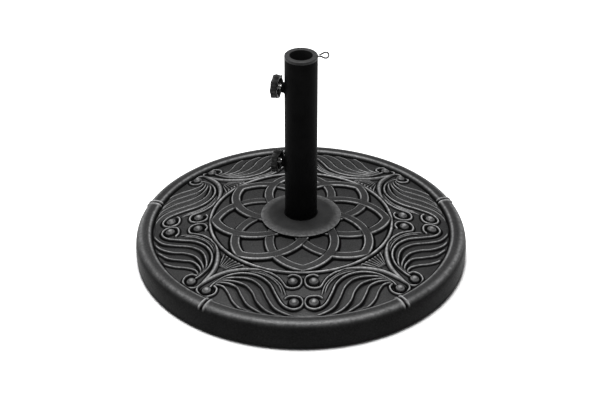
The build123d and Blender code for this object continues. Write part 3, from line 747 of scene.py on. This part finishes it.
def rim_piece():
    """Rim and wall with the pairs of tie beads that cross them."""
    line = spline(RIM, RIM_SPLINE_STEPS) * MM
    r, z = line[:, 0], line[:, 1]
    step = np.gradient(line, axis=0)
    normal = np.stack([-step[:, 1], step[:, 0]], axis=-1)
    normal /= np.linalg.norm(normal, axis=1, keepdims=True)
    # a tie runs from the panel's edge, over the crest, to a little way down the wall
    run = np.where(r < 235 * MM, smooth_step(r, 222.8 * MM, 226 * MM), smooth_step(z, 33 * MM, 39 * MM))
    turns, across, gutter = tie_pattern()
    beads = run[:, None] * across
    gutters = run[:, None] * gutter
    lift = TIE_H * beads - GUTTER_DEPTH * gutters
    radius = np.minimum(line[:, :1] + normal[:, :1] * lift, DISC_R)
    height = line[:, 1:] + normal[:, 1:] * lift
    points = np.stack([radius * np.cos(turns), radius * np.sin(turns), height], axis=-1)
    obj = grid_object("rim_and_wall", points, True, MATERIALS["relief"], "base", "relief_shell",
                      flip=True)
    # rubbed wear with a painted highlight band on the shoulder and the lip all round; the tie beads are
    # rubbed
    worn_and_highlit = 0.35 * hump(r, SHOULDER_WEAR_AND_HIGHLIGHT_R, 3.2 * MM) + 0.50 * hump(r, LIP_WEAR_AND_HIGHLIGHT_R, 1.6 * MM)
    point_attribute(obj, "wear_and_highlight", np.clip(worn_and_highlit[:, None] + beads, 0, 1))
    # painted shade in the crease at the rim's inner foot, on the outer wall below the shoulder, and between
    # each tie's two beads
    groove = 0.9 * (1 - smooth_step(r, 224 * MM, 227.5 * MM))
    wall = 0.55 * (1 - smooth_step(z, 35 * MM, 41.5 * MM)) * (r > 240 * MM)
    point_attribute(obj, "painted_shade", np.clip((groove + wall)[:, None] + 0.9 * gutters, 0, 1))


def shell_inside():
    """What the shell shows from below and under the flange plate."""
    hub = [(TUBE_R + 0.5 * MM, 43.2 * MM), (TUBE_R + 0.6 * MM, 59.2 * MM)]
    hub += [(r, float(dome_z(r))) for r in np.linspace(TUBE_R + 1.5 * MM, 0.8 * PLATE_R, 8)]
    lathe("shell_well", hub, 96, MATERIALS["shell"], "base", "relief_shell")
    skirt = [(r * MM, z * MM) for r, z in SKIRT]
    lathe("shell_skirt", skirt, 360, MATERIALS["shell"], "base", "relief_shell")


# ================================================================================ stem
def tube_piece():
    """The stem's skin: its wall inside, its mouth and its outside."""
    top = TUBE_HIGH.z
    corners = [(TUBE_INSIDE_R, TUBE_SHOWN_FROM - 4 * MM), (TUBE_INSIDE_R, top), (TUBE_R, top),
               (TUBE_R, TUBE_SHOWN_FROM)]
    outline = rounded(corners, [0.3 * MM, 0.4 * MM], 4)
    lathe("tube_skin", outline, 128, MATERIALS["stem_paint"], "base", "stem_tube")


def plate_piece():
    """Domed flange plate, its edge rubbed bright with a painted highlight."""
    top = PLATE_HIGH.z
    edge = PLATE_EDGE_Z
    corners = [(TUBE_R, top), (TUBE_R + PLATE_HUB, top), (PLATE_SHOULDER_R, 0.5 * (top + edge) + 0.8 * MM),
               (PLATE_R, edge), (PLATE_R, edge - PLATE_THICK),
               (PLATE_INSIDE_R, top - PLATE_THICK - 0.4 * MM)]
    outline = rounded(corners, [6 * MM, 60 * MM, 0.7 * MM, 0.9 * MM], 10)
    plate = lathe("flange_plate_skin", outline, PLATE_SEGMENTS, MATERIALS["plate_paint"], "base",
                  "flange_plate")
    r, z = np.array(outline).T
    # painted highlight with wear along the plate's outer edge
    worn_and_highlit = smooth_step(r, PLATE_R - 0.9 * MM, PLATE_R - 0.2 * MM) * (z > edge - 0.9 * MM)
    point_attribute(plate, "wear_and_highlight", np.repeat(worn_and_highlit[:, None], PLATE_SEGMENTS, axis=1))


def weld_ring():
    """Fillet weld round the tube's foot, laid in overlapping ripples."""
    turns = np.linspace(0, 2 * pi, 480, endpoint=False)
    ripple = 0.5 + 0.5 * np.abs(np.sin(turns * WELD_RIPPLES))
    wander = 1 + 0.10 * np.sin(3 * turns + 0.6) + 0.06 * np.sin(7 * turns + 2)
    rows = []
    for share in np.linspace(0, 1, 11):
        a = 0.5 * pi * share
        size = WELD_LEG * wander * (1 + 0.10 * ripple * sin(2 * a))
        out = size * (1 - 0.85 * sin(a)) * (cos(a) * 0.15 + 0.85)
        up = size * (1 - 0.85 * cos(a)) * (sin(a) * 0.15 + 0.85) * share**0.5
        radius = TUBE_R - WELD_SINK + out
        rows.append(np.stack([radius * np.cos(turns), radius * np.sin(turns), PLATE_HIGH.z - WELD_SINK + up],
                             axis=-1))
    grid_object("weld_bead", np.array(rows), True, MATERIALS["stem_paint"], "base", "foot_weld")


def cap_piece():
    """Push-in cap: sleeve in the tube, flange on its mouth, and the hole for the pole."""
    low, high = CAP_LOW.z, CAP_HIGH.z
    flange_z = TUBE_HIGH.z
    corners = [(CAP_BORE_R, low + CAP_OPEN), (CAP_BORE_R, high), (CAP_R, high), (CAP_R, flange_z),
               (CAP_SLEEVE_R, flange_z), (CAP_SLEEVE_R, low), (CAP_BORE_R, low), (CAP_BORE_R, low + CAP_OPEN)]
    radii = [1.0 * MM, 1.3 * MM, 0.3 * MM, 0.2 * MM, 0.3 * MM, 0.3 * MM]
    lathe("cap_body", rounded(corners, radii, 6), 128, MATERIALS["cap_plastic"], "cap", "reducer_cap")


def swept_wire(name, path, radius, material, body, stands_for):
    """Round wire along a path, with rounded ends."""
    tangents = np.gradient(path, axis=0)
    tangents /= np.linalg.norm(tangents, axis=1, keepdims=True)
    angles = np.linspace(0, 2 * pi, WIRE_SIDES, endpoint=False)[:, None]
    sizes = np.ones(len(path))
    sizes[0] = sizes[-1] = 0.35
    sizes[1] = sizes[-2] = 0.8
    across = np.array([0.0, 1.0, 0.0])
    rings = []
    for point, tangent, size in zip(path, tangents, sizes):
        a = across - tangent * across.dot(tangent)
        a /= np.linalg.norm(a)
        b = np.cross(tangent, a)
        rings.append(point + radius * size * (np.cos(angles) * a + np.sin(angles) * b))
    return grid_object(name, np.array(rings), True, material, body, stands_for)


def pin_piece():
    """Wire eye pin: the shank, then the loop that closes back over the neck."""
    low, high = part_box("eye_pin")
    radius = 0.5 * (high.y - low.y) - 0.01 * MM
    shank_z = 0.5 * (CAP_HIGH.z + TUBE_HIGH.z)
    route = [(low.x / MM, 0), *EYE_OUT, ((high.x - radius) / MM, EYE_TIP_UP), *EYE_BACK]
    line = spline(route, 8) * MM
    # the loop's two ends pass each other side by side at the neck
    sway = np.interp(line[:, 0], [24 * MM, 27 * MM, 30 * MM, 33 * MM], [0, 0.35 * MM, 0.35 * MM, 0])
    coming_back = np.arange(len(line)) > len(line) / 2
    path = np.stack([line[:, 0], np.where(coming_back, sway, -sway), shank_z + line[:, 1]], axis=-1)
    swept_wire("pin_wire", path, radius, MATERIALS["coated_wire"], "pin", "eye_pin")


# ======================================================================== clamp screws
def clamp_points(z, distance, radius, angles):
    """Points round a clamp screw's axis, at a distance out from the pole's; numbers and arrays may mix."""
    outward = np.array([cos(KNOB_TURN), sin(KNOB_TURN), 0])
    up = np.array([0, 0, 1])
    side = np.cross(outward, up)
    distance, radius, angles = np.broadcast_arrays(distance, radius, angles)
    return (np.array([0, 0, z]) + distance[..., None] * outward + (radius * np.cos(angles))[..., None] * up
            + (radius * np.sin(angles))[..., None] * side)


def star(angles, inset):
    """Radius of the lobed knob at each angle, drawn in by an inset."""
    lobe = LOBE_R - inset
    body = KNOB_BODY_R - inset
    off = (angles + pi / LOBES) % (2 * pi / LOBES) - pi / LOBES
    aside = LOBE_REACH * np.sin(off)
    inside = np.maximum(lobe**2 - aside**2, 0)
    tip = np.where(np.abs(aside) < lobe, LOBE_REACH * np.cos(off) + np.sqrt(inside), 0)
    return np.log(np.exp(BLEND * (tip - body)) + np.exp(-0.03 * BLEND * body)) / BLEND + body


def knob_piece(level, z):
    """Star knob with a boss in a round pocket behind and a dish in its face."""
    angles = np.linspace(0, 2 * pi, AROUND_SCREW, endpoint=False)
    curve = [0.5 * pi * i / 5 for i in range(6)]
    rows = [(KNOB_BACK + away * MM, radius) for away, radius in
            ((4.0, 3.9 * MM), (4.0, KNOB_BOSS_R - 0.5 * MM), (4.4, KNOB_BOSS_R),
             (6.5, KNOB_BOSS_R + 0.2 * MM), (6.5, KNOB_POCKET_R - 0.3 * MM), (6.0, KNOB_POCKET_R),
             (0.6, KNOB_POCKET_R + 0.25 * MM), (0.0, KNOB_POCKET_R + 0.9 * MM))]
    rows += [(KNOB_BACK + KNOB_EDGE * (1 - sin(a)), star(angles, KNOB_EDGE * (1 - cos(a))))
             for a in curve[1:]]
    rows += [(KNOB_FRONT - KNOB_EDGE * (1 - cos(a)), star(angles, KNOB_EDGE * (1 - sin(a))))
             for a in reversed(curve)]
    rows += [(KNOB_FRONT - deep * MM, radius) for deep, radius in
             ((0.0, KNOB_DISH_R + 0.5 * MM), (0.25, KNOB_DISH_R), (1.2, KNOB_DISH_R - 1.3 * MM),
              (1.2, 0.01 * MM))]
    points = np.array([clamp_points(z, distance, radius, angles) for distance, radius in rows])
    grid_object(f"{level}_star_knob", points, True, MATERIALS["knob_plastic"], f"{level}_knob",
                f"{level}_knob_head")


def thread_piece(level, z):
    """Clamp screw with its helical thread and a plain tip."""
    distance, angles = np.meshgrid(np.linspace(SCREW_START, SCREW_END, 200),
                                   np.linspace(0, 2 * pi, 48, endpoint=False), indexing="ij")
    phase = (distance / SCREW_PITCH - angles / (2 * pi)) % 1
    depth = THREAD_DEPTH * np.clip(1.6 * np.abs(2 * phase - 1) - 0.3, 0, 1)
    lead = smooth_step(distance, SCREW_START, SCREW_START + SCREW_PITCH)
    radius = SCREW_R - depth - 0.7 * MM * (1 - lead)
    tip = clamp_points(z, SCREW_START, 0, angles[:1])
    points = np.concatenate([tip, clamp_points(z, distance, radius, angles)])
    grid_object(f"{level}_clamp_screw", points, True, MATERIALS["bright_screw"], f"{level}_knob",
                f"{level}_knob_screw")


def nut_piece(level, z):
    """Hexagon weld nut, its corners chamfered and its foot run into the tube by a weld."""
    angles = np.linspace(0, 2 * pi, AROUND_SCREW, endpoint=False)
    off = (angles + pi / 6) % (pi / 3) - pi / 6
    hexagon = np.minimum((NUT_HALF_FLAT - 0.15 * MM) / np.cos(off), NUT_HALF_FLAT * 1.13)
    rows = [(NUT_FACE, NUT_BORE_R), (NUT_FACE, NUT_HALF_FLAT - 0.7 * MM), (NUT_FACE - 0.6 * MM, hexagon),
            (NUT_SIDE, hexagon)]
    for grow, lift in NUT_WELD:
        radius = hexagon + grow
        on_tube = np.sqrt(np.maximum(TUBE_R**2 - (radius * np.sin(angles)) ** 2, 0))
        rows.append((on_tube + lift, radius))
    points = np.array([clamp_points(z, distance, radius, angles) for distance, radius in rows])
    grid_object(f"{level}_nut_and_weld", points, True, MATERIALS["stem_paint"], "base", f"{level}_weld_nut")


# ==================================================================== remaining pieces
def dress_cad_nodes():
    """Carried-over CAD nodes get the material of their record slot."""
    for entry in frame["record"]["subparts"]:
        node = frame["nodes"][entry["node"]]
        material = MATERIALS.get(entry["material_slot"], MATERIALS["shell"])
        node.data.materials.clear()
        node.data.materials.append(material)


# ============================================================================== studio
def pale_floor():
    """Plain floor that the stand rests on, just under its feet."""
    bpy.ops.mesh.primitive_plane_add(size=14, location=(0, 0, -0.0002))
    floor = bpy.context.object
    floor.name = "studio_floor"
    material, _, _, shader = new_material("pale_floor")
    shader.inputs["Base Color"].default_value = (0.92, 0.92, 0.92, 1)
    shader.inputs["Roughness"].default_value = 0.9
    shader.inputs["Specular IOR Level"].default_value = 0.0
    floor.data.materials.append(material)


def softbox(name, spot, size, power):
    """Round soft light that faces the stand's foot."""
    light = bpy.data.lights.new(name, "AREA")
    light.shape = "DISK"
    light.size = size
    light.energy = power
    obj = bpy.data.objects.new(name, light)
    obj.location = spot
    obj.rotation_euler = (AIM - Vector(spot)).to_track_quat("-Z", "Y").to_euler()
    bpy.context.scene.collection.objects.link(obj)


def photo_camera():
    """Camera where the photo was taken from."""
    camera = bpy.data.cameras.new("photo_camera")
    camera.sensor_width = 36
    camera.lens = CAMERA_LENS
    obj = bpy.data.objects.new("photo_camera", camera)
    obj.location = CAMERA_SPOT
    obj.rotation_euler = CAMERA_TURN
    bpy.context.scene.collection.objects.link(obj)
    bpy.context.scene.camera = obj


def studio():
    """White air, pale floor, two softboxes and the camera."""
    world = bpy.data.worlds.new("studio_air")
    world.use_nodes = True
    background = world.node_tree.nodes["Background"]
    background.inputs[0].default_value = (1, 1, 1, 1)
    background.inputs[1].default_value = AIR_LIGHT
    bpy.context.scene.world = world
    bpy.context.scene.view_settings.view_transform = "Standard"
    pale_floor()
    softbox("overhead_softbox", (-0.10, 0.15, 2.7), 1.3, 150)
    softbox("back_softbox", (-0.7, 1.5, 1.7), 1.0, 3)
    photo_camera()


relief_pieces()
rim_piece()
shell_inside()
tube_piece()
plate_piece()
weld_ring()
cap_piece()
pin_piece()
for level, z in KNOBS.items():
    knob_piece(level, z)
    thread_piece(level, z)
    nut_piece(level, z)
dress_cad_nodes()
studio()
